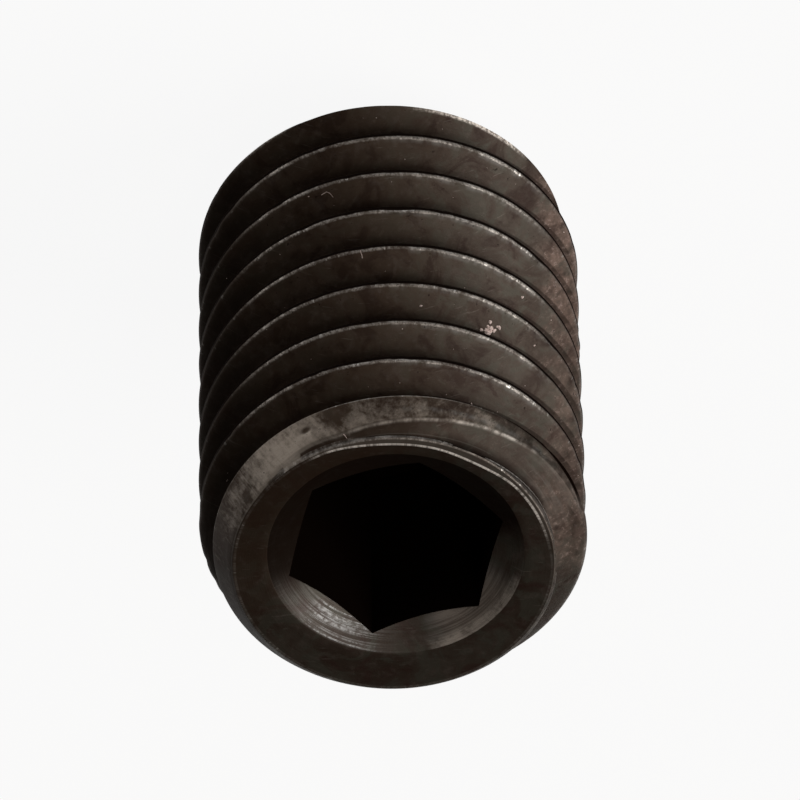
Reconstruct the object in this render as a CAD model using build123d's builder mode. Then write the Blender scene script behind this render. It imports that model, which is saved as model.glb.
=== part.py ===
"""Headless hexagon socket set screw, right-hand thread, standing on its flat point with the socket up."""

import os
from math import ceil, cos, radians, sin, tan

from build123d import *

# Threaded bar, in millimetres and degrees: a groove runs out of the socket face at groove_heading
thread_diameter = 8.0
pitch = 1.25
length = 12.0
flank_angle = 60.0
crest_flat_share = 0.07
root_flat_share = 0.2
groove_heading = 247.6

# The two ends: each chamfer is measured from the axis
point_diameter = 5.2
point_chamfer_angle = 40.0
socket_face_diameter = 6.63
socket_chamfer_angle = 39.0

# Hexagon socket, which sits a little off the axis of the bar
across_flats = 4.0
socket_depth = 5.2
socket_turn = 17.0
socket_offset = 0.277
socket_offset_heading = 258.5
drill_angle = 120.0
countersink_diameter = 5.3
countersink_angle = 120.0

# Bar and ends
crest_radius = thread_diameter / 2
point_radius = point_diameter / 2
point_chamfer_height = (crest_radius - point_radius) / tan(radians(point_chamfer_angle))
socket_face_radius = socket_face_diameter / 2
socket_chamfer_height = (crest_radius - socket_face_radius) / tan(radians(socket_chamfer_angle))

# Thread groove: its flanks run on past the crest by half of what the crest's flat leaves room for
crest_flat = pitch * crest_flat_share
root_flat = pitch * root_flat_share
flank_slope = tan(radians(flank_angle / 2))
root_radius = crest_radius - (pitch - crest_flat - root_flat) / 2 / flank_slope
overrun = crest_flat / 4 / flank_slope
mouth_half_width = (pitch - crest_flat) / 2 + overrun * flank_slope
turns_from_socket_face = ceil(length / pitch) + 1

# Socket bores, measured down from the socket face
drill_radius = across_flats / 2
drill_tip_depth = socket_depth + drill_radius / tan(radians(drill_angle / 2))
countersink_radius = countersink_diameter / 2
countersink_depth = countersink_radius / tan(radians(countersink_angle / 2))
socket_x = socket_offset * cos(radians(socket_offset_heading))
socket_y = socket_offset * sin(radians(socket_offset_heading))
socket_plane = Plane((socket_x, socket_y, length))
socket_section_plane = Plane((socket_x, socket_y, length), x_dir=(1, 0, 0), z_dir=(0, -1, 0))

os.makedirs("parts", exist_ok=True)

# One turn of the groove that the thread leaves in the bar, climbing from the ground plane
with BuildPart() as groove_turn:
    with BuildLine() as groove_path:
        Helix(pitch, pitch, root_radius)
    with BuildSketch(Plane.XZ):
        with BuildLine():
            Polyline(
                (root_radius, -root_flat / 2),
                (root_radius, root_flat / 2),
                (crest_radius + overrun, mouth_half_width),
                (crest_radius + overrun, -mouth_half_width),
                close=True,
            )
        make_face()
    sweep(path=groove_path.line, is_frenet=True)

with BuildPart() as set_screw:
    # A bar with both ends faced and chamfered
    with BuildSketch(Plane.XZ):
        with BuildLine():
            Polyline(
                (0, 0),
                (point_radius, 0),
                (crest_radius, point_chamfer_height),
                (crest_radius, length - socket_chamfer_height),
                (socket_face_radius, length),
                (0, length),
                close=True,
            )
        make_face()
    revolve(axis=Axis.Z)

    # The thread runs out through both ends
    for turn in range(-1, turns_from_socket_face):
        with Locations((0, 0, length - turn * pitch)):
            add(groove_turn.part, rotation=(0, 0, groove_heading), mode=Mode.SUBTRACT)

    # The socket is drilled with a pointed bottom and countersunk, then broached to a hexagon
    with BuildSketch(socket_section_plane):
        with BuildLine():
            Polyline((0, 0), (countersink_radius, 0), (0, -countersink_depth), close=True)
        make_face()
        with BuildLine():
            Polyline(
                (0, 0),
                (drill_radius, 0),
                (drill_radius, -socket_depth),
                (0, -drill_tip_depth),
                close=True,
            )
        make_face()
    revolve(axis=Axis((socket_x, socket_y, length), (0, 0, 1)), mode=Mode.SUBTRACT)
    with BuildSketch(socket_plane):
        RegularPolygon(across_flats / 2, 6, major_radius=False, rotation=socket_turn)
    extrude(amount=-socket_depth, mode=Mode.SUBTRACT)

set_screw.part.label = "set_screw"
export_step(set_screw.part, "parts/set_screw.step")
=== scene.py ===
from itertools import combinations
from math import cos, pi, radians, sin, tan

import bpy
import numpy as np
from mathutils import Matrix, Vector


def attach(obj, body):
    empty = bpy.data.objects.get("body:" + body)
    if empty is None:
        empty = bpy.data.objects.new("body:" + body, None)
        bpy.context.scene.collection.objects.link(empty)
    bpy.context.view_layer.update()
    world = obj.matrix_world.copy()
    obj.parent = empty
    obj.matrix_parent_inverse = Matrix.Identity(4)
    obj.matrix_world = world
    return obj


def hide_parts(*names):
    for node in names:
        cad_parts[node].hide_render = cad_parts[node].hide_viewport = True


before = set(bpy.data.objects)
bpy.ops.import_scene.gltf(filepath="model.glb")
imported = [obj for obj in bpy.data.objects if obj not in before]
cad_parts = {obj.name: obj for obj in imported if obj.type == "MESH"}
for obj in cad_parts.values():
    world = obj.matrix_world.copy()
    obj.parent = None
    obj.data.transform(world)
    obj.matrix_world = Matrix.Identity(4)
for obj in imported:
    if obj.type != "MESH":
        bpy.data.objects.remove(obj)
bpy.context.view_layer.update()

# Set screw: a short steel bar with a coarse right-hand thread rolled along its whole length.
# One end is faced, chamfered, drilled, countersunk and broached to a hexagon; the other is a flat point.
# Lengths here are in millimetres, and the mesh is brought to metres at the end.
length, pitch = 12.0, 1.25
crest_radius, root_radius = 4.0, 3.21
crest_half_width, flank_run = 0.044, tan(radians(60))
crest_lean, crest_blend, root_blend = 0.02, 0.12, 0.06
crest_heading_at_face = 67.6
crest_height_at_zero = length - pitch * crest_heading_at_face / 360
runout_start, runout_length, runout_opening, opening_ramp = 11.1, 0.3, 0.045, 0.1
runout_heading, runout_half, runout_soft = 316, 19, 11
face_radius, face_slope = 3.315, tan(radians(39))
point_radius, point_slope = 2.6, tan(radians(40))
socket_x, socket_y = -0.0552, -0.2714
mouth_radius, mouth_slope = 2.65, tan(radians(60))
half_flats, hex_corner_heading = 2.0, radians(17)
socket_floor, drill_radius = 6.8, 1.98
edge_break, mouth_edge_break, cone_blend = 0.03, 0.015, 0.02
headings = 360
theta = np.arange(headings) * 2 * pi / headings


def soft_min(a, b, blend):
    near = np.clip(blend - np.abs(a - b), 0, None) / blend
    return np.minimum(a, b) - near * near * blend / 4


def soft_max(a, b, blend):
    return -soft_min(-a, -b, blend)


def from_crest(heading, z):
    phase = (z - crest_height_at_zero) / pitch - heading / (2 * pi)
    return (phase - np.round(phase)) * pitch


# The groove opens a little where it runs out through the socket end
def eased(value, low, high):
    share = np.clip((value - low) / (high - low), 0, 1)
    return share * share * (3 - 2 * share)


def opened(heading, z):
    outer, inner = cos(radians(runout_half + runout_soft)), cos(radians(runout_half - runout_soft))
    wide = eased(np.cos(heading - radians(runout_heading)), outer, inner)
    return runout_opening * (1 + wide) * eased(z, runout_start, runout_start + runout_length)


def thread_radius(heading, z):
    off = from_crest(heading, z)
    widened = opened(heading, z) * np.clip(off / opening_ramp, 0, 1)
    off = np.abs(off + crest_lean) - crest_lean + widened
    flank = crest_radius - (off - crest_half_width) * flank_run
    return soft_max(soft_min(flank, crest_radius, crest_blend), root_radius, root_blend)


# Rolling pushed a thin lip out along part of the face's edge, with a height for each heading in degrees
tall_lip, low_lip, top_lip = 0.27, 0.09, 0.11
lip_falls_from, lip_falls_to = 206, 236
lip_headings = [0, 150, 165, lip_falls_from, lip_falls_to, 246, 254, 300, 318, 360]
lip_heights = [0, 0, tall_lip, tall_lip, low_lip, 0.08, top_lip, top_lip, 0, 0]
lip_step, lip_slope, lip_blend = 0.012, 10, 0.01


def lip_foot(heading):
    return length - np.interp(np.degrees(heading), lip_headings, lip_heights)


def lip_radius(heading, z):
    return face_radius + lip_step - np.clip(lip_foot(heading) + lip_step - z, 0, None) * lip_slope


def face_cone(z):
    return face_radius + (length - z) * face_slope


def point_cone(z):
    return point_radius + z * point_slope


# Small dents along the crests, each with a heading, a turn counted from the point, a length and a depth
dents = np.random.default_rng(8)
dent_count, top_turn = 160, 10
dent_lengths, dent_depths = (0.05, 0.25), (0.008, 0.03)
dent_crest_width, dent_height = 0.06, 0.3
crest_dents = [
    (
        dents.uniform(0, 2 * pi),
        dents.integers(0, top_turn + 1),
        dents.uniform(*dent_lengths),
        dents.uniform(*dent_depths),
    )
    for _ in range(dent_count)
]
deep_dent = (radians(216), 9, 0.1, 0.06)
crest_dents.append(deep_dent)


def outside_radius(heading, z):
    radius = soft_max(thread_radius(heading, z), lip_radius(heading, z), lip_blend)
    radius = soft_min(soft_min(radius, face_cone(z), cone_blend), point_cone(z), cone_blend)
    crest = np.exp(-((from_crest(heading, z) / dent_crest_width) ** 2))
    for at, turn, span, depth in crest_dents:
        dent_z = crest_height_at_zero + pitch * (at / (2 * pi) + turn - top_turn)
        along = ((heading - at + pi) % (2 * pi) - pi) * crest_radius
        hollow = np.exp(-((along / span) ** 2) - ((z - dent_z) / dent_height) ** 2)
        radius = radius - depth * crest * hollow
    return radius


# The thread is a helical grid: lines of points run along the crest, flanks and root, turn after turn
half_profile = [0.03, 0.046, 0.062, 0.12, 0.2, 0.28, 0.36, 0.44, 0.5, 0.55]
profile = np.array([-w for w in reversed(half_profile)] + [0.0] + half_profile + [pitch / 2])
lines_per_turn = len(profile)
turns = 12
first_turn = -11
line_z = np.concatenate([profile + pitch * (k + first_turn) for k in range(turns + 1)])
grid_z = crest_height_at_zero + line_z[:, None] + pitch * theta[None, :] / (2 * pi)
first_z, last_z = edge_break, length - edge_break
face_cone_reach, point_cone_reach, cone_samples = 1.2, 2.0, 4000


def snap_to_cone(column, heading, cone, start, stop):
    fine = np.linspace(start, stop, cone_samples)
    gap = thread_radius(heading, fine) - cone(fine)
    for k in np.nonzero(np.sign(gap[:-1]) != np.sign(gap[1:]))[0]:
        crossing = fine[k] - gap[k] * (fine[k + 1] - fine[k]) / (gap[k + 1] - gap[k])
        column[np.argmin(np.abs(column - crossing))] = crossing


def snap_to_lip(column, foot):
    if foot < length - 3 * edge_break:
        line = np.argmin(np.abs(column - foot - lip_step))
        column[line - 1 : line + 1] = foot, foot + lip_step
        column.sort()


first_line, last_line = np.zeros(headings, int), np.zeros(headings, int)
for i in range(headings):
    snap_to_lip(grid_z[:, i], lip_foot(theta[i]))
    snap_to_cone(grid_z[:, i], theta[i], face_cone, length - face_cone_reach, length - 2 * edge_break)
    snap_to_cone(grid_z[:, i], theta[i], point_cone, 2 * edge_break, point_cone_reach)
    first_line[i] = np.argmin(np.abs(grid_z[:, i] - first_z))
    last_line[i] = np.argmin(np.abs(grid_z[:, i] - last_z))
    grid_z[: first_line[i] + 1, i] = first_z
    grid_z[last_line[i] :, i] = last_z

points, faces = [], []
number = np.zeros(grid_z.shape, int)
for i in range(headings):
    z = grid_z[first_line[i] : last_line[i] + 1, i]
    radius = outside_radius(np.full(len(z), theta[i]), z)
    start = len(points)
    points += list(zip(radius * cos(theta[i]), radius * sin(theta[i]), z))
    number[:, i] = start + np.clip(np.arange(len(line_z)) - first_line[i], 0, len(z) - 1)


def add_face(*corners):
    kept = [c for k, c in enumerate(corners) if c != corners[k - 1]]
    if len(set(kept)) > 2:
        faces.append(kept)


for i in range(headings):
    after, climb = (i + 1, 0) if i + 1 < headings else (0, lines_per_turn)
    for n in range(len(line_z) - 1 - climb):
        add_face(number[n, i], number[n + climb, after], number[n + 1 + climb, after], number[n + 1, i])


# The ends are rings of points, one for each heading, joined to the thread's first and last points
def add_ring(x, y, z):
    start = len(points)
    points.extend(zip(x, y, z))
    return np.arange(start, start + headings)


def join_rings(lower, upper):
    for i in range(headings):
        j = (i + 1) % headings
        add_face(lower[i], lower[j], upper[j], upper[i])


def round_ring(radius, z, about=(0, 0)):
    radius, z = radius + 0 * theta, z + 0 * theta
    return add_ring(about[0] + radius * np.cos(theta), about[1] + radius * np.sin(theta), z)


def close_ring(ring, tip, upward):
    points.append(tip)
    for i in range(headings):
        pair = (ring[i], ring[(i + 1) % headings])
        faces.append([*(pair if upward else pair[::-1]), len(points) - 1])


socket_axis = (socket_x, socket_y)
edge_inset = 0.6 * edge_break
face_edge = outside_radius(theta, np.full(headings, length)) - edge_inset
point_edge = outside_radius(theta, np.zeros(headings)) - edge_inset

ring = np.array([number[first_line[i], i] for i in range(headings)])
for share in (1, 0.7, 0.35):
    inner = round_ring(point_edge * share, 0.0)
    join_rings(inner, ring)
    ring = inner
close_ring(ring, (0.0, 0.0, 0.0), False)

hex_radius = half_flats / np.cos((theta - hex_corner_heading) % (pi / 3) - pi / 6)
ring = np.array([number[last_line[i], i] for i in range(headings)])
face_outer = np.stack([face_edge * np.cos(theta), face_edge * np.sin(theta)])
face_inner = (mouth_radius + mouth_edge_break) * np.stack([np.cos(theta), np.sin(theta)])
face_inner = face_inner + np.array(socket_axis)[:, None]
for share in (0, 0.25, 0.5, 0.75, 1):
    middle = face_outer + (face_inner - face_outer) * share
    inner = add_ring(middle[0], middle[1], np.full(headings, length))
    join_rings(ring, inner)
    ring = inner
for share in (0.04, 0.2, 0.4, 0.6, 0.8, 1):
    radius = mouth_radius + (hex_radius - mouth_radius) * share
    inner = round_ring(radius, length - (mouth_radius - radius) / mouth_slope, socket_axis)
    join_rings(ring, inner)
    ring = inner
mouth_z = length - (mouth_radius - hex_radius) / mouth_slope
for share in (0.04, 0.12, 0.25, 0.4, 0.55, 0.7, 0.85, 1):
    inner = round_ring(hex_radius, mouth_z + (socket_floor - mouth_z) * share, socket_axis)
    join_rings(ring, inner)
    ring = inner
for share in (1, 0.75, 0.5, 0.25):
    radius = drill_radius * share
    inner = round_ring(radius, socket_floor - (drill_radius - radius) / mouth_slope, socket_axis)
    join_rings(ring, inner)
    ring = inner
close_ring(ring, (socket_x, socket_y, socket_floor - drill_radius / mouth_slope), True)

screw_mesh = bpy.data.meshes.new("set_screw")
screw_mesh.from_pydata(np.array(points) / 1000, [], [list(map(int, f)) for f in faces])
screw_mesh.shade_smooth()
screw_mesh.set_sharp_from_angle(angle=radians(32))
screw = bpy.data.objects.new("blackened_screw", screw_mesh)
bpy.context.scene.collection.objects.link(screw)


class Wire:
    """A node's output; arithmetic on it adds Math nodes to the same material."""

    def __init__(self, socket):
        self.socket = socket

    @classmethod
    def add(cls, tree, kind, settings=None, inputs=None, output=0):
        made = tree.nodes.new(kind)
        for name, value in (settings or {}).items():
            setattr(made, name, value)
        for key, value in (inputs or {}).items():
            if isinstance(value, Wire):
                tree.links.new(value.socket, made.inputs[key])
            else:
                made.inputs[key].default_value = value
        return cls(made.outputs[output]) if made.outputs else made

    def node(self, kind, settings=None, inputs=None, output=0):
        return Wire.add(self.socket.id_data, kind, settings, inputs, output)

    def maths(self, operation, *values):
        return self.node("ShaderNodeMath", {"operation": operation}, dict(enumerate(values)))

    def __add__(self, other):
        return self.maths("ADD", self, other)

    __radd__ = __add__

    def __sub__(self, other):
        return self.maths("SUBTRACT", self, other)

    def __rsub__(self, other):
        return self.maths("SUBTRACT", other, self)

    def __mul__(self, other):
        return self.maths("MULTIPLY", self, other)

    __rmul__ = __mul__

    def __truediv__(self, other):
        return self.maths("DIVIDE", self, other)

    def rise(self, low, high):
        limits = {"Value": self, "From Min": low, "From Max": high}
        return self.node("ShaderNodeMapRange", {"interpolation_type": "SMOOTHSTEP"}, limits)

    def fall(self, low, high):
        return 1 - self.rise(low, high)

    def tint(self, low, high):
        low, high = ((*c, 1) if isinstance(c, tuple) else c for c in (low, high))
        blend = {0: self, 6: low, 7: high}
        return self.node("ShaderNodeMix", {"data_type": "RGBA", "clamp_factor": True}, blend, 2)


black_oxide = bpy.data.materials.new("black_oxide_steel")
black_oxide.use_nodes = True
tree = black_oxide.node_tree
tree.nodes.clear()
place = Wire.add(tree, "ShaderNodeTexCoord", output="Object")
place = place.node("ShaderNodeVectorMath", {"operation": "SCALE"}, {0: place, "Scale": 1000})
split = place.node("ShaderNodeSeparateXYZ", None, {0: place})
x, y, z = (Wire(split.socket.node.outputs[k]) for k in range(3))


def grain(at, scale, detail, rough, warp=0.0):
    inputs = {"Vector": at, "Scale": scale, "Detail": detail, "Roughness": rough, "Distortion": warp}
    return place.node("ShaderNodeTexNoise", None, inputs)


def vector(a, b, c):
    return place.node("ShaderNodeCombineXYZ", None, {0: a, 1: b, 2: c})


radius = place.maths("SQRT", x * x + y * y)
heading = place.maths("ARCTAN2", y, x)
phase = (z - crest_height_at_zero) / pitch - heading / (2 * pi)
off_crest = (place.maths("FRACT", phase + 0.5) - 0.5) * pitch
sx, sy = x - socket_x, y - socket_y
bore_radius = place.maths("SQRT", sx * sx + sy * sy)
east, north = x / radius, y / radius
bore_east, bore_north = sx / bore_radius, sy / bore_radius


# A zone spans its half width either side of a middle heading, in degrees, and fades over the soft width
def zone(middle, half, soft, across=None):
    a, b = across or (east, north)
    facing = a * cos(radians(middle)) + b * sin(radians(middle))
    return facing.rise(cos(radians(half + soft)), cos(radians(half - soft)))


def mouth_zone(middle, half, soft):
    return zone(middle, half, soft, (bore_east, bore_north))


def between(value, low, high, soft):
    return value.rise(low - soft, low + soft) * value.fall(high - soft, high + soft)


def near(point, inner, outer):
    away = place.node("ShaderNodeVectorMath", {"operation": "DISTANCE"}, {0: place, 1: point}, 1)
    return away.fall(inner, outer)


def most(*values):
    top = values[0]
    for value in values[1:]:
        top = place.maths("MAXIMUM", top, value)
    return top


def line_at(value, middle, inner, outer):
    return place.maths("ABSOLUTE", value - middle).fall(inner, outer)


# Where each surface lies; every mask is 1 on its surface and 0 elsewhere
on_face = z.rise(length - 0.010, length - 0.004)
in_bore = bore_radius.fall(mouth_radius + 0.005, mouth_radius + mouth_edge_break)
mouth_level = z + (mouth_radius - bore_radius) / mouth_slope
on_mouth = in_bore * line_at(mouth_level, length, 0.01, 0.02) * (1 - on_face)
in_hex = in_bore * (1 - on_mouth) * (1 - on_face)
outside = (1 - in_bore) * (1 - on_face)

# How far each point lies below the cones of the two ends and below the ridge's front and back flanks
cone_gap = face_radius + (length - z) * face_slope - radius
point_gap = point_radius + z * point_slope - radius
run_out = z.rise(runout_start, runout_start + runout_length)
opening = run_out * runout_opening * (1 + zone(runout_heading, runout_half, runout_soft))
flank_gap = crest_radius - (off_crest + opening - crest_half_width) * flank_run - radius
back_gap = crest_radius + (off_crest + 2 * crest_lean + crest_half_width) * flank_run - radius
near_face = z.rise(length - 1.1, length - 1.0) * outside
on_chamfer = cone_gap.fall(0.006, 0.022) * near_face
on_crease = (cone_gap + flank_gap).fall(0.012, 0.04) * near_face * off_crest.rise(0.05, 0.07)
on_brow = (cone_gap + back_gap).fall(0.015, 0.06) * near_face * off_crest.fall(-0.06, -0.03)
on_crest = radius.rise(crest_radius - 0.12, crest_radius - 0.07) * outside
crest_back = between(off_crest, -0.14, 0.022, 0.014) * on_crest

# The lip: its top on the face, its wall, and the bright lines along its inner edge, rim and foot
on_rim = z.rise(length - 0.034, length - 0.022) * outside
lip_inside = radius + 0.05 + 0.05 * zone(215, 28, 12) + 0.09 * zone(256, 24, 14)
on_inner_line = line_at(lip_inside, face_radius, 0.014, 0.036) * on_face
on_lip_top = lip_inside.rise(face_radius - 0.01, face_radius + 0.01) * on_face * zone(245, 50, 8)
on_lip = between(radius, face_radius + 0.002, face_radius + 0.022, 0.003) * outside
on_lip = on_lip * z.rise(length - 0.30, length - 0.28)
left_foot = flank_gap.fall(0.008, 0.03) * zone(301, 15, 4)
top_foot = line_at(z, length - top_lip + 0.006, 0.006, 0.02) * zone(268, 16, 4)
fallen = (heading + radians(360 - lip_falls_from)) / radians(lip_falls_to - lip_falls_from)
fallen = place.maths("MAXIMUM", place.maths("MINIMUM", fallen, 1), 0)
above_foot = z - length + tall_lip - (tall_lip - low_lip) * fallen
right_foot = between(above_foot, 0.0, 0.05, 0.012) * zone(213, 22, 4)
on_foot = most(left_foot, top_foot, right_foot) * z.rise(length - 0.32, length - 0.30)
on_foot = on_foot * between(radius, face_radius - 0.03, face_radius + 0.05, 0.01) * outside

# Uneven patterns, from broad clouds to fine specks, and marks that follow the thread, the face and the bore
cloud = grain(place, 0.9, 3, 0.6, 0.4)
stain = grain(place, 1.35, 4, 0.6, 1.2)
blotch = grain(place, 2.7, 4, 0.6, 0.6)
mottle = grain(place, 4, 5, 0.65, 0.3)
scuff = grain(place, 9, 4, 0.7, 0.2)
fine = grain(place, 26, 4, 0.7)
drawn = grain(vector(east * 2.5, north * 2.5, off_crest * 22), 1.0, 4, 0.6)
nicked = grain(vector(east * 14, north * 14, z * 3), 1.0, 3, 0.7)
glint = grain(vector(east * 40, north * 40, z * 6), 1.0, 2, 0.5)
speckle = grain(vector(east * 75, north * 75, z * 30), 1.0, 3, 0.7)
scratch = grain(vector((x + z) * 2.2, (y - z * 0.4) * 26, (x - y) * 0.8), 1.0, 2, 0.5)
ring_marks = grain(vector(bore_east * 0.9, bore_north * 0.9, bore_radius * 26), 1.0, 3, 0.6)
turned = grain(vector(east * 0.6, north * 0.6, radius * 16), 1.0, 4, 0.6)

# Rust gathers on one side and pale streaks lie on the flanks; the sheen beside the crests on one side is a
# painted highlight
rust_zone = 0.06 + zone(190, 18, 8) * (0.5 + 0.5 * z.fall(4.5, 7.0))
rust = (blotch * 0.5 + mottle * 0.5 + scuff * 0.3).rise(0.4, 0.95) * rust_zone * outside
flecks = scuff.rise(0.54, 0.66) * rust_zone * blotch.rise(0.42, 0.56) * outside
streaked_spot = (-3.24, -1.51, 11.52)
streaks = near(streaked_spot, 0.3, 1.2) * drawn.rise(0.35, 0.7) * outside
painted_crest_sheen = between(off_crest, 0.03, 0.1, 0.03) * zone(242, 22, 12) * nicked.rise(0.38, 0.64) * outside

# The chamfer is scuffed bright in patches, with two dark spots left in it
first_dark_spot, second_dark_spot = (1.15, -3.60, 11.48), (2.97, -1.74, 11.84)
amount = 0.15 + 0.6 * zone(307, 11, 9) + 0.08 * zone(332, 14, 10)
amount = amount + 0.16 * zone(274, 12, 6) + 0.05 * zone(246, 18, 6) - 0.4 * zone(8, 26, 12)
amount = amount - 0.4 * near(first_dark_spot, 0.1, 0.36) - 0.5 * near(second_dark_spot, 0.05, 0.2)
amount = amount + 0.3 * (radius - 3.55).fall(0.0, 0.3)
uneven = (blotch - 0.5) * 0.8 + (mottle - 0.5) * 1.2 + (scuff - 0.5) * 1.2 + (scratch - 0.5) * 0.6
scuffed = (amount + uneven).rise(0.05, 1.2) * on_chamfer

# Bright lines: the crests' front edges, the chamfer's two edges, the lip and the last ridge at the point.
# The edges are worn, and their extra strength on the lit sides is painted highlight; the lip's inner line,
# the last ridge's line and the glints are painted highlights
on_edge = line_at(off_crest, 0.045, 0.008, 0.014 + nicked * 0.02 + speckle * 0.02) * on_crest
edge_highlight_zone = 0.35 + 0.65 * zone(267, 46, 8) - 0.25 * zone(202, 16, 8) - 0.33 * zone(350, 28, 8)
edge_wear_and_highlight = on_edge * (0.25 + 0.75 * nicked.rise(0.35, 0.62)) * edge_highlight_zone
edge_wear_and_highlight = edge_wear_and_highlight * (0.25 + 0.75 * speckle.rise(0.38, 0.6))
brow_wear_and_highlight = on_brow * (0.3 + 0.7 * nicked.rise(0.4, 0.6)) * (0.2 + 0.7 * zone(267, 22, 8))
crease_wear_and_highlight = on_crease * (0.12 + 0.45 * nicked.rise(0.4, 0.66)) * (0.2 + 0.8 * zone(255, 34, 8))
broken = (0.15 + 0.85 * nicked.rise(0.36, 0.56)) * (0.4 + 0.6 * speckle.rise(0.36, 0.58))
rim_highlight_zone = 0.08 + 0.3 * zone(257, 60, 6) + 0.4 * zone(270, 18, 6) + 0.3 * zone(306, 12, 6)
rim_wear_and_highlight = most(on_rim, on_foot * zone(285, 36, 4)) * rim_highlight_zone * broken
inner_highlight_line = (0.05 + 0.7 * zone(246, 52, 6) + 0.25 * zone(236, 16, 8)) * on_inner_line
inner_highlight = inner_highlight_line * broken
foot_wear_and_highlight = on_foot * zone(213, 22, 4) * (0.3 + 0.7 * speckle.rise(0.36, 0.58)) * 0.9
last_ridge = z.fall(1.75, 1.85) * point_gap.fall(0.05, 0.12) * zone(241, 17, 7) * outside
last_ridge_highlight = last_ridge * (0.3 + 0.7 * speckle.rise(0.4, 0.6)) * 0.8
wear_and_highlight_lines = most(edge_wear_and_highlight, crease_wear_and_highlight, rim_wear_and_highlight, inner_highlight, foot_wear_and_highlight, brow_wear_and_highlight, last_ridge_highlight)
first_glint, second_glint = (-1.78, -2.62, length), (-0.90, -3.03, length)
painted_lip_glints = most(near(first_glint, 0.04, 0.16), near(second_glint, 0.03, 0.09)) * on_inner_line
painted_glints = glint.rise(0.62, 0.72) * most(on_edge, on_brow, on_inner_line)
painted_glints = most(painted_glints * (0.2 + 0.8 * zone(258, 38, 10)), painted_lip_glints)

# The countersink keeps the cutter's rings; its bright patches, warm on one side with cool streaks on
# another, and its bright edge are painted highlights
mouth_right = mouth_zone(135, 21, 12)
mouth_painted_light = 0.06 + 0.2 * mouth_zone(50, 34, 12) + 0.14 * mouth_zone(62, 8, 8) + 0.9 * mouth_right
mouth_rings_and_highlight = on_mouth * mouth_painted_light * (0.2 + 0.8 * ring_marks.rise(0.38, 0.62))
mouth_streaked_highlight = on_mouth * mouth_zone(60, 15, 10) * ring_marks.rise(0.46, 0.6) * scuff.rise(0.4, 0.58)
mouth_edge_highlight = on_mouth * bore_radius.rise(2.42, 2.58) * mouth_right * mottle.rise(0.3, 0.6)

# Colours, laid one over another
oxide_brown, oxide_grey = (0.036, 0.023, 0.0155), (0.052, 0.041, 0.031)
stain_red, stain_green, painted_shade_brown = (0.038, 0.0175, 0.013), (0.054, 0.052, 0.040), (0.047, 0.026, 0.013)
mottle_grey, speck_grey, scratch_grey = (0.085, 0.068, 0.058), (0.12, 0.10, 0.088), (0.16, 0.14, 0.125)
rust_pink, fleck_pink = (0.30, 0.207, 0.172), (0.50, 0.40, 0.37)
streak_grey, painted_sheen_grey, lip_grey = (0.17, 0.15, 0.135), (0.19, 0.185, 0.18), (0.13, 0.115, 0.10)
scuffed_steel, worn_and_highlit_steel, inner_highlight_white = (0.40, 0.355, 0.31), (0.62, 0.59, 0.56), (0.95, 0.91, 0.87)
mouth_highlight_grey, mouth_highlight_warm, mouth_highlight_cool = (0.27, 0.27, 0.27), (0.56, 0.50, 0.45), (0.46, 0.48, 0.50)
mouth_edge_highlight_colour, glint_highlight_white = (0.85, 0.78, 0.71), (0.92, 0.90, 0.87)
colour = cloud.rise(0.35, 0.65).tint(oxide_brown, oxide_grey)
colour = (stain.rise(0.52, 0.66) * 0.7).tint(colour, stain_red)
colour = (stain.fall(0.40, 0.50) * 0.7).tint(colour, stain_green)
# Painted shade: one side of the oxide is tinted darker
colour = (zone(318, 55, 28) * 0.6).tint(colour, painted_shade_brown)
colour = (mottle.rise(0.5, 0.75) * 0.6).tint(colour, mottle_grey)
colour = (fine.rise(0.58, 0.8) * 0.5).tint(colour, speck_grey)
colour = (scratch.rise(0.66, 0.76) * 0.4).tint(colour, scratch_grey)
colour = (rust * 0.9).tint(colour, rust_pink)
colour = (flecks * 0.6).tint(colour, fleck_pink)
colour = (streaks * 0.6).tint(colour, streak_grey)
# Painted highlight: a pale sheen beside the crests' front edges on one side
colour = (painted_crest_sheen * 0.6).tint(colour, painted_sheen_grey)
colour = (most(on_lip, on_lip_top) * 0.5).tint(colour, lip_grey)
colour = scuffed.tint(colour, scuffed_steel)
# Worn edges, brightened on the lit sides as painted highlight, then the painted highlight of the lip's inner
# line
colour = (wear_and_highlight_lines * 0.9).tint(colour, worn_and_highlit_steel)
colour = inner_highlight.tint(colour, inner_highlight_white)
# Painted highlights in the countersink, laid over the cutter's rings
colour = (mouth_rings_and_highlight * 0.9).tint(colour, mouth_right.tint(mouth_highlight_grey, mouth_highlight_warm))
colour = (mouth_streaked_highlight * 0.5).tint(colour, mouth_highlight_cool)
colour = (mouth_edge_highlight * 0.7).tint(colour, mouth_edge_highlight_colour)
# Painted glints: small near-white highlights on the crests' edges and the lip
colour = painted_glints.tint(colour, glint_highlight_white)
# Worn metal together with the painted highlights is made more metallic and smoother
wear_and_highlight = most(scuffed * 0.8, wear_and_highlight_lines, mouth_rings_and_highlight * 0.9, mouth_streaked_highlight, mouth_edge_highlight, painted_glints)
metal = 0.5 + wear_and_highlight * 0.5 - rust * 0.35 - most(inner_highlight_line, painted_lip_glints) * 0.75
rough = 0.42 + mottle * 0.24 + rust * 0.15 - wear_and_highlight_lines * 0.1 - mouth_rings_and_highlight * 0.12 - painted_glints * 0.15
height = (fine - 0.5) * 0.0020 + (drawn - 0.5) * 0.004 * outside + (mottle - 0.5) * 0.004
height = height + (ring_marks - 0.5) * 0.010 * on_mouth + (turned - 0.5) * 0.004 * on_face
height = height + (blotch - 0.5) * 0.006 * on_chamfer + (scratch - 0.5) * 0.002
bump = place.node("ShaderNodeBump", None, {"Strength": 1.0, "Distance": 0.001, "Height": height})
oxide = {"Base Color": colour, "Metallic": metal, "Roughness": rough, "Normal": bump}
steel = place.node("ShaderNodeBsdfPrincipled", None, oxide)

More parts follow.
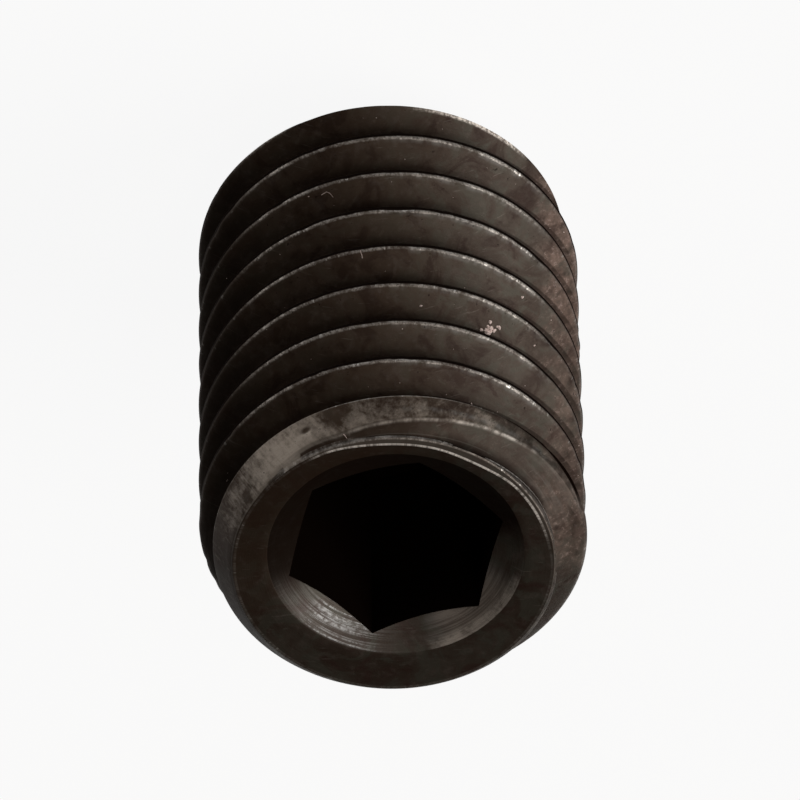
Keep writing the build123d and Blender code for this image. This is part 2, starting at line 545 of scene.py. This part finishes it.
# Painted shade darkens the hexagon, most of the countersink, the face, the crests' backs, the grooves and
# flanks by the lip, parts of the chamfer and one brow; the flanks of the top turns on one side are darker
# too
dark_mouth = on_mouth * (0.85 - 0.85 * mouth_zone(105, 80, 16))
dark_face = on_face * (0.22 + 0.2 * zone(290, 60, 25)) * (1 - most(wear_and_highlight_lines, on_lip_top))
dark_crest = crest_back * (1 - most(edge_wear_and_highlight, painted_glints)) * (0.75 + 0.22 * zone(262, 75, 15))
dark_crest = dark_crest * (1 - 0.45 * z.rise(length - 1.5, length - 1.1))
dark_groove = flank_gap.fall(0.03, 0.06) * off_crest.rise(0.05, 0.08) * zone(282, 24, 14) * outside
dark_groove = dark_groove * z.rise(length - 0.8, length - 0.5) * (1 - wear_and_highlight_lines) * 0.4
dark_lip = on_lip * zone(200, 34, 6) * (1 - wear_and_highlight_lines) * 0.6
dark_chamfer = on_chamfer * most(zone(90, 100, 12) * 0.5, zone(212, 19, 8) * 0.6 * (1 - wear_and_highlight_lines))
dark_brow = radius.rise(crest_radius - 0.08, crest_radius - 0.055) * zone(217, 24, 6) * outside
dark_brow = dark_brow * z.rise(length - 1.0, length - 0.9)
dark_foot = off_crest.rise(0.28, 0.44) * zone(226, 28, 10) * outside * (1 - wear_and_highlight_lines) * 0.8
dark_foot = dark_foot * z.rise(length - 0.5, length - 0.38)
dark_first = off_crest.rise(0.05, 0.1) * zone(222, 20, 12) * outside * (1 - wear_and_highlight) * 0.16
dark_first = dark_first * z.rise(length - 2.1, length - 1.6)

# Painted shadow: the darkening in the grooves starts just short of the line past which the crest above hides
# them from the camera
sight_slope = north * -0.818
hidden_from = (crest_half_width * flank_run + pitch * sight_slope) / (flank_run + sight_slope)
groove_painted_shadow = (off_crest - hidden_from).rise(-0.03, -0.012) * off_crest.fall(0.5, 0.6)
groove_painted_shadow = groove_painted_shadow * zone(222, 36, 14) * z.fall(length - 0.7, length - 0.6) * outside * 0.6

# One side is darker all over as painted shade, and small pits and stains lie on every flank
dark_side = zone(352, 30, 14) * (1 - on_chamfer) * outside * 0.5
pits = scuff.rise(0.62, 0.68) * between(off_crest, 0.0, 0.2, 0.04) * outside * 0.7
stained = stain.rise(0.5, 0.64) * 0.3 * outside * (1 - wear_and_highlight)
shade_and_stains = most(in_hex, dark_mouth, dark_face, dark_crest, dark_groove, dark_lip, dark_chamfer, dark_brow)
shade_and_stains = most(shade_and_stains, dark_foot, dark_first, groove_painted_shadow, dark_side, pits, stained)
# The painted shade, pits and stains all mix in one near-black matt finish
shade_and_stain_black = (0.005, 0.0028, 0.002, 1)
shade_and_stain_bsdf = place.node("ShaderNodeBsdfDiffuse", None, {"Color": shade_and_stain_black})
finish = place.node("ShaderNodeMixShader", None, {0: shade_and_stains, 1: steel, 2: shade_and_stain_bsdf})
place.node("ShaderNodeOutputMaterial", None, {"Surface": finish})
screw_mesh.materials.append(black_oxide)

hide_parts("set_screw")
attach(screw, "root")

# Dust: pale specks, one chalky flake and three short fibres caught on the flanks.
# Each speck is a crushed ball half sunk in the surface; each fibre is a thin bent tube lying on it.
lint = np.random.default_rng(21)
golden, corner_reach, longest_edge = 1.618, 1.902, 1.1
ball = [(a, b, 0) for a in (-1, 1) for b in (-golden, golden)]
ball = np.array(ball + [(0, a, b) for a, b, _ in ball] + [(b, 0, a) for a, b, _ in ball]) / corner_reach
ball_faces = [
    corners
    for corners in combinations(range(len(ball)), 3)
    if max(np.linalg.norm(ball[p] - ball[q]) for p, q in combinations(corners, 2)) < longest_edge
]
ball_faces = [f if np.linalg.det(ball[list(f)]) > 0 else f[::-1] for f in ball_faces]
dust_points, dust_faces = [], []


def on_surface(heading_degrees, up, lift):
    at = radians(heading_degrees)
    out = float(outside_radius(np.array([at]), np.array([up]))[0]) + lift
    return np.array([out * cos(at), out * sin(at), up])


def add_speck(heading_degrees, up, size):
    start = len(dust_points)
    rough_ball = ball * size * lint.uniform(0.6, 1.3, (len(ball), 1)) * lint.uniform(0.6, 1.2, 3)
    dust_points.extend(on_surface(heading_degrees, up, 0.0) + rough_ball)
    dust_faces.extend([start + k for k in f] for f in ball_faces)


def add_fibre(way, thickness):
    start, sides = len(dust_points), 6
    path = [on_surface(a, up, thickness) for a, up in way]
    for k, at in enumerate(path):
        ahead = Vector(path[min(k + 1, len(path) - 1)] - path[max(k - 1, 0)]).normalized()
        outward = Vector((at[0], at[1], 0)).normalized()
        aside = ahead.cross(outward).normalized()
        outward = aside.cross(ahead)
        for n in range(sides):
            turn = 2 * pi * n / sides
            dust_points.append(at + thickness * np.array(aside * cos(turn) + outward * sin(turn)))
    for k in range(len(path) - 1):
        for n in range(sides):
            a, b = start + k * sides + n, start + k * sides + (n + 1) % sides
            dust_faces.append([a, b, b + sides, a + sides])
    dust_faces.append([start + n for n in reversed(range(sides))])
    dust_faces.append([start + (len(path) - 1) * sides + n for n in range(sides)])


single_specks = ((259.4, 7.933, 0.03), (217.2, 7.70, 0.03), (222.8, 6.46, 0.035), (241.0, 10.48, 0.028))
for speck in single_specks:
    add_speck(*speck)
flake_heading, flake_height, flake_blobs = 234.2, 7.885, 26
for _ in range(flake_blobs):
    spread = lint.choice((0.4, 1.0))
    aside, up = spread * lint.normal(0, 2.0), spread * lint.normal(0, 0.035)
    add_speck(flake_heading + aside, flake_height + up, lint.uniform(0.03, 0.06))
loose_specks = 90
for _ in range(loose_specks):
    a, turn, off = lint.uniform(0, 360), lint.integers(1, 9), lint.uniform(0.08, 0.4)
    up = crest_height_at_zero + pitch * (a / 360 - 1 - turn) + off
    add_speck(a, up, lint.uniform(0.006, 0.014))
add_fibre([(290.8, 4.17), (289.9, 4.16), (289.0, 4.15), (288.1, 4.17), (287.4, 4.22)], 0.005)
add_fibre([(278.2, 6.52), (278.1, 6.55), (277.9, 6.59), (277.9, 6.62)], 0.006)
add_fibre([(286.3, 11.82), (285.9, 11.84), (285.5, 11.87)], 0.005)
dust_mesh = bpy.data.meshes.new("dust")
dust_mesh.from_pydata(np.array(dust_points) / 1000, [], dust_faces)
dust = bpy.data.objects.new("dust_and_fibres", dust_mesh)
bpy.context.scene.collection.objects.link(dust)
pale_dust = bpy.data.materials.new("pale_dust")
pale_dust.use_nodes = True
tree = pale_dust.node_tree
tree.nodes.clear()
chalk_finish = {"Base Color": (0.85, 0.72, 0.69, 1), "Roughness": 0.9}
chalk = Wire.add(tree, "ShaderNodeBsdfPrincipled", None, chalk_finish)
chalk.node("ShaderNodeOutputMaterial", None, {"Surface": chalk})
dust_mesh.materials.append(pale_dust)
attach(dust, "root")

# Floor: a wide pale studio table that the screw stands on.
# It shows nearly white, also in reflections, and keeps the screw's own soft shadow.
floor_half, floor_glow = 4.0, 0.92
floor_corners = [(a * floor_half, b * floor_half, 0) for a, b in ((-1, -1), (1, -1), (1, 1), (-1, 1))]
floor_mesh = bpy.data.meshes.new("floor")
floor_mesh.from_pydata(floor_corners, [], [(0, 1, 2, 3)])
floor = bpy.data.objects.new("floor", floor_mesh)
bpy.context.scene.collection.objects.link(floor)
table_white = bpy.data.materials.new("table_white")
table_white.use_nodes = True
tree = table_white.node_tree
tree.nodes.clear()
path = Wire.add(tree, "ShaderNodeLightPath", output="Is Camera Ray")
seen = [Wire(path.socket.node.outputs[k]) for k in ("Is Camera Ray", "Is Glossy Ray", "Is Transmission Ray")]
shown = path.maths("MAXIMUM", seen[0], path.maths("MAXIMUM", seen[1], seen[2]))
matt = path.node("ShaderNodeBsdfDiffuse", None, {"Color": (0.8, 0.8, 0.8, 1)})
glow = path.node("ShaderNodeEmission", None, {"Color": (1, 1, 1, 1), "Strength": 1.0})
surface = path.node("ShaderNodeMixShader", None, {0: shown * floor_glow, 1: matt, 2: glow})
path.node("ShaderNodeOutputMaterial", None, {"Surface": surface})
floor_mesh.materials.append(table_white)

# Camera: above the socket end, rolled so that the socket is at the foot of the picture.
# Its place and lens follow the perspective of the thread and of the socket's mouth.
tilt, roll = radians(39.3), radians(1.05)
eye_distance, lens, sensor = 266.7, 584.5, 36.0
image_size, face_centre_pixel, pixels_per_mm = 800, (393.45, 564.9), 48.7
toward_eye = Vector((0, -sin(tilt), cos(tilt)))
picture_right = Vector((-cos(roll), cos(tilt) * sin(roll), sin(tilt) * sin(roll)))
picture_up = Vector((-sin(roll), -cos(tilt) * cos(roll), -sin(tilt) * cos(roll)))
face_centre = Vector((0, 0, length))
eye = face_centre + toward_eye * eye_distance
middle = face_centre + picture_right * ((image_size / 2 - face_centre_pixel[0]) / pixels_per_mm)
middle = middle + picture_up * ((face_centre_pixel[1] - image_size / 2) / pixels_per_mm)
back = (eye - middle).normalized()
right = picture_up.cross(back).normalized()
up = back.cross(right)
camera_data = bpy.data.cameras.new("camera")
camera_data.lens = lens
camera_data.sensor_width = sensor
camera_data.clip_start = 0.01
camera = bpy.data.objects.new("camera", camera_data)
camera.matrix_world = Matrix.Translation(eye / 1000) @ Matrix((right, up, back)).transposed().to_4x4()
bpy.context.scene.collection.objects.link(camera)
bpy.context.scene.camera = camera


# Light: a large soft box right of the picture, a small one far to the left and a small warm one by the eye.
# Each is a square lamp facing the socket end, placed by its way right, up and out of the picture, in metres.
# Around them is a dim even room.
def soft_box(name, right_up_out, distance, size, radiance, colour):
    data = bpy.data.lights.new(name, "AREA")
    data.shape = "SQUARE"
    data.size = size
    data.energy = radiance * pi * size * size
    data.color = colour
    across, upward, outward = right_up_out
    way = (picture_right * across + picture_up * upward + toward_eye * outward).normalized()
    lamp = bpy.data.objects.new(name, data)
    lamp.location = face_centre / 1000 + way * distance
    lamp.rotation_mode = "QUATERNION"
    lamp.rotation_quaternion = way.to_track_quat("Z", "Y")
    bpy.context.scene.collection.objects.link(lamp)


soft_box("window_light", (0.74, -0.36, 0.56), distance=0.3, size=0.2, radiance=4.8, colour=(1.0, 0.94, 0.88))
soft_box("left_light", (-0.84, 0.25, 0.48), distance=0.3, size=0.08, radiance=3.3, colour=(1.0, 0.93, 0.86))
soft_box("front_fill", (0.25, -0.12, 0.96), distance=0.4, size=0.09, radiance=6.6, colour=(1.0, 0.88, 0.77))
room = bpy.data.worlds.new("room")
room.use_nodes = True
room_light = room.node_tree.nodes["Background"]
room_light.inputs["Color"].default_value = (1.0, 0.9, 0.8, 1)
room_light.inputs["Strength"].default_value = 0.02
bpy.context.scene.world = room
bpy.context.scene.view_settings.view_transform = "Standard"
